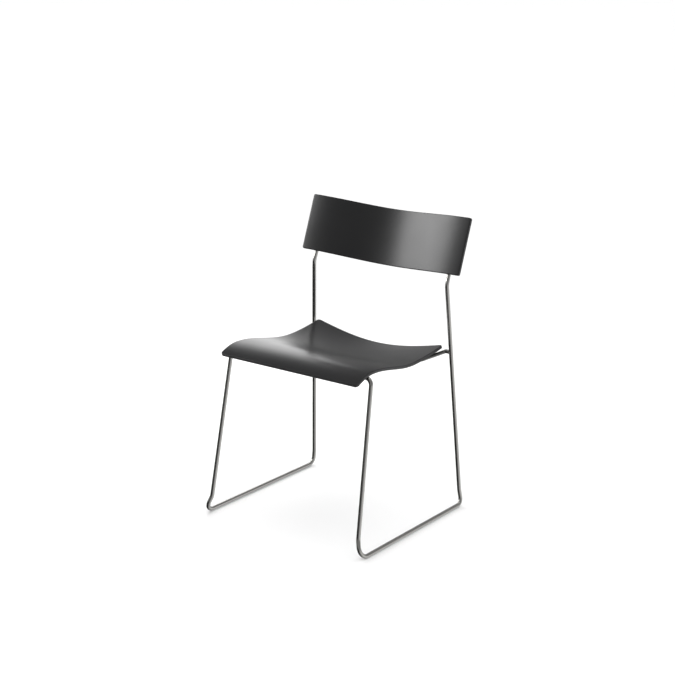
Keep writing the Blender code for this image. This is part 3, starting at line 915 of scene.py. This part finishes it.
for surface, thick, screws in screw_sets:
    head_depth = thick + fit_gap + plate + fit_gap
    shank = head_depth - insert_cover - shank_end_gap
    socket = [
        [0.0, socket_depth - head_height],
        [socket_radius, socket_depth - head_height],
        [socket_radius, socket_chamfer - head_height],
        [socket_radius + socket_chamfer, -head_height],
    ]
    under_head = [
        [head_radius - head_edge_break, 0.0],
        [screw_radius, 0.0],
        [screw_radius, shank - shank_chamfer],
        [screw_radius - shank_chamfer, shank],
        [0.0, shank],
    ]
    profile = np.concatenate([socket, head_curve, under_head])
    for label, a, b in screws:
        screw_name = f"{label}_screw_turned"
        screw = turned(screw_name, surface, a, b, head_depth, profile, turned_sides, hexagon_in_socket)
        screw.data.set_sharp_from_angle(angle=turned_crease)
        screw.data.materials.append(zinc)
        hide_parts(f"{label}_screw")

# --- Threaded inserts -----------------------------------------------------------------------------
# Each screw enters a brass insert pressed into the plywood from behind. Straight knurling of 0.5 mm pitch
# keeps the insert from turning.

knurl_teeth = 48
knurl_depth = 0.06
insert_sides = 4 * knurl_teeth
insert_chamfer = 0.0004
bore_chamfer = 0.0003


def knurled(angle, rings):
    """A triangle wave round the rings of full radius, between 1 and 1 less the knurl's depth."""
    wave = np.abs((angle * knurl_teeth / (2.0 * np.pi)) % 1.0 - 0.5) * 2.0
    return 1.0 - knurl_depth * wave * (rings[:, :1] > insert_radius - same_place)


def machined_brass(name):
    """Machined brass: a yellow metal, a little dulled, with 0.2 mm turning marks."""
    mark_size = 0.0002
    material, tree, output = new_material(name)
    place = add_node(tree, "ShaderNodeTexCoord").outputs["Object"]
    marks = add_node(
        tree, "ShaderNodeTexNoise", inputs={"Vector": place, "Scale": 1.0 / mark_size, "Detail": 2.0}
    )
    rough = add_node(
        tree, "ShaderNodeMapRange", inputs={"Value": marks.outputs[0], "To Min": 0.29, "To Max": 0.42}
    )
    shader = add_node(
        tree,
        "ShaderNodeBsdfPrincipled",
        inputs={"Base Color": linear("#d3ab63"), "Metallic": 1.0, "Roughness": rough.outputs[0]},
    )
    tree.links.new(shader.outputs[0], output.inputs[0])
    return material


brass = machined_brass("machined_brass")
bore_radius = screw_radius + screw_clearance
for surface, thick, screws in screw_sets:
    length = thick - insert_cover
    profile = np.array(
        [
            [bore_radius + bore_chamfer, 0.0],
            [insert_radius - insert_chamfer, 0.0],
            [insert_radius, insert_chamfer],
            [insert_radius, length - insert_chamfer],
            [insert_radius - insert_chamfer, length],
            [bore_radius, length],
            [bore_radius, bore_chamfer],
        ]
    )
    for label, a, b in screws:
        insert = turned(f"{label}_insert_knurled", surface, a, b, thick, profile, insert_sides, knurled)
        insert.data.set_sharp_from_angle(angle=turned_crease)
        insert.data.materials.append(brass)
        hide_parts(f"{label}_insert")

# --- Studio ---------------------------------------------------------------------------------------
# A white floor lies under white surroundings, with soft boxes over the chair, behind its left and in front
# of its left. In reflections the surroundings are much darker than to the eye, and darkest at the camera's
# left, so that the rods have a dark side and the lacquer stays black.

bpy.context.scene.view_settings.view_transform = "Standard"

floor_reach = 30.0
floor_corners = [
    (-floor_reach, -floor_reach, 0.0),
    (floor_reach, -floor_reach, 0.0),
    (floor_reach, floor_reach, 0.0),
    (-floor_reach, floor_reach, 0.0),
]
floor_mesh = bpy.data.meshes.new("floor")
floor_mesh.from_pydata(floor_corners, [], [(0, 1, 2, 3)])
floor = bpy.data.objects.new("floor", floor_mesh)
bpy.context.scene.collection.objects.link(floor)
floor_paint, tree, output = new_material("white_floor_paint")
matt = add_node(
    tree, "ShaderNodeBsdfPrincipled", inputs={"Base Color": linear("#f4f4f4"), "Roughness": 0.7}
)
tree.links.new(matt.outputs[0], output.inputs[0])
floor.data.materials.append(floor_paint)
# The floor's white would fill the rods' dark side, so reflections look past it to the surroundings.
floor.visible_glossy = False


def soft_box(name, place, aim, size, power):
    """A rectangular area light at a place, turned to face a point, and hidden from the camera."""
    light = bpy.data.lights.new(name, "AREA")
    light.shape = "RECTANGLE"
    light.size, light.size_y = size
    light.energy = power
    lamp = bpy.data.objects.new(name, light)
    place = Vector(place)
    turn = (Vector(aim) - place).to_track_quat("-Z", "Y").to_matrix().to_4x4()
    lamp.matrix_world = Matrix.Translation(place) @ turn
    lamp.visible_camera = False
    bpy.context.scene.collection.objects.link(lamp)
    return lamp


middle_of_chair = (0.0, 0.0, 0.45)
soft_box("overhead_box", (0.2, 0.4, 3.0), middle_of_chair, (2.4, 2.4), 10.0)
soft_box("rear_left_box", (-1.25, 0.9, 0.85), middle_of_chair, (1.0, 1.3), 8.0)
sheen_box = soft_box("front_left_box", (-2.3, -1.2, 1.75), middle_of_chair, (1.3, 1.1), 42.0)
# This box makes the sheen across the back. It lights no matt surface, so it casts no shadow on the floor.
sheen_box.visible_diffuse = False

white_to_eye = 1.0
white_on_matt = 1.22
reflected_above = 0.25
reflected_left = 0.02
reflected_right = 0.85
dark_until = -0.55
light_from = 1.1
horizon_blur = 0.12

world = bpy.data.worlds.new("studio")
bpy.context.scene.world = world
world.use_nodes = True
tree = world.node_tree
tree.nodes.clear()
sky = add_node(tree, "ShaderNodeTexCoord").outputs["Generated"]
to_right = add_node(
    tree, "ShaderNodeVectorMath", {"operation": "DOT_PRODUCT"}, {0: sky, 1: camera_right}
)
side_light = add_node(
    tree,
    "ShaderNodeMapRange",
    {"interpolation_type": "SMOOTHSTEP"},
    {
        "Value": to_right.outputs["Value"],
        "From Min": dark_until,
        "From Max": light_from,
        "To Min": reflected_left,
        "To Max": reflected_right,
    },
)
height = add_node(tree, "ShaderNodeSeparateXYZ", inputs={"Vector": sky}).outputs["Z"]
above = add_node(
    tree,
    "ShaderNodeMapRange",
    {"interpolation_type": "SMOOTHSTEP"},
    {"Value": height, "From Min": -horizon_blur, "From Max": horizon_blur},
)
glossy_level = add_node(
    tree,
    "ShaderNodeMix",
    {"data_type": "FLOAT"},
    {"Factor": above.outputs[0], "A": side_light.outputs[0], "B": reflected_above},
)
rays = add_node(tree, "ShaderNodeLightPath")
surround = add_node(
    tree,
    "ShaderNodeMix",
    {"data_type": "FLOAT"},
    {"Factor": rays.outputs["Is Glossy Ray"], "A": white_on_matt, "B": glossy_level.outputs[0]},
)
level = add_node(
    tree,
    "ShaderNodeMix",
    {"data_type": "FLOAT"},
    {"Factor": rays.outputs["Is Camera Ray"], "A": surround.outputs[0], "B": white_to_eye},
)
background = add_node(
    tree, "ShaderNodeBackground", inputs={"Color": (1.0, 1.0, 1.0, 1.0), "Strength": level.outputs[0]}
)
tree.links.new(background.outputs[0], add_node(tree, "ShaderNodeOutputWorld").inputs[0])
